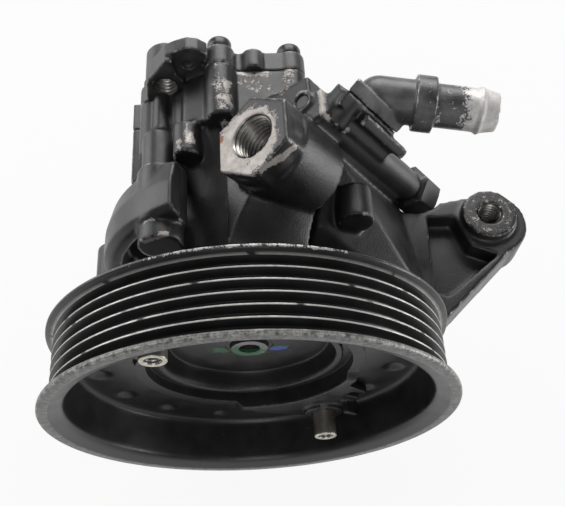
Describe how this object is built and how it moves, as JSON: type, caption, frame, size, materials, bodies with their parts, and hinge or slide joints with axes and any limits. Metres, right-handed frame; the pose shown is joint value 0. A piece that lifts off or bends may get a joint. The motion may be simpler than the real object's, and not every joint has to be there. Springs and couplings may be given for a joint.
{
  "type": "power steering pump",
  "caption": "Belt-driven hydraulic vane pump with a ribbed pulley, painted cast housing, threaded pressure port, angled suction elbow and threaded mounting ear.",
  "frame": {"origin": "on the shaft axis, at the middle of the belt track", "axes": "+Y along the shaft from the pulley to the rear cover, +Z out of the mounting ear's threaded face, +X from the shaft to the mounting ear"},
  "size_m": [0.1659, 0.1258, 0.1288],
  "materials": {
    "housing_paint": "satin black paint over cast aluminium",
    "pulley_paint": "satin black paint over steel",
    "bolt_paint": "black paint over steel",
    "plated_steel": "zinc plated",
    "ground_steel": "ground",
    "seal_rubber": "matt",
    "bush_bronze": "sintered"
  },
  "bodies": {
    "housing": {"front_housing": "housing_paint", "rear_cover": "housing_paint", "cover_bolts": "bolt_paint", "sealing_plug": "bolt_paint", "valve_plug": "bolt_paint", "valve_plug_o_ring": "seal_rubber", "valve_spring": "ground_steel", "suction_elbow": "housing_paint", "elbow_o_ring": "seal_rubber", "elbow_bolt": "plated_steel", "bearing_outer_ring": "ground_steel", "bearing_circlip": "ground_steel", "shaft_seal": "seal_rubber", "front_pressure_plate": "ground_steel", "cam_ring": "ground_steel", "rear_pressure_plate": "ground_steel", "dowel_pins": "plated_steel", "cover_o_ring": "seal_rubber", "rear_bush": "bush_bronze"},
    "shaft": {"pulley": "pulley_paint", "drive_hub": "pulley_paint", "threaded_sleeves": "plated_steel", "drive_shaft": "ground_steel", "rotor": "ground_steel", "vanes": "plated_steel", "bearing_inner_ring": "ground_steel"},
    "cage": {"bearing_balls": "plated_steel", "bearing_cage": "bush_bronze"},
    "spool": {"valve_spool": "ground_steel"}
  },
  "joints": [
    {"name": "shaft_spin", "type": "hinge", "parent": "housing", "child": "shaft", "pos_m": [0, 0, 0], "axis": [0, 1, 0], "continuous": true},
    {"name": "cage_spin", "type": "hinge", "parent": "housing", "child": "cage", "pos_m": [0, 0, 0], "axis": [0, 1, 0], "continuous": true},
    {"name": "spool_slide", "type": "slide", "parent": "housing", "child": "spool", "axis": [0.6198, 0, -0.7848], "range_m": [0, 0.006], "stiffness_N_per_m": 4000, "springref_m": -0.002, "deforming": ["valve_spring"]}
  ],
  "couplings": [
    {"joint": "cage_spin", "follows": "shaft_spin", "ratio": 0.384}
  ]
}
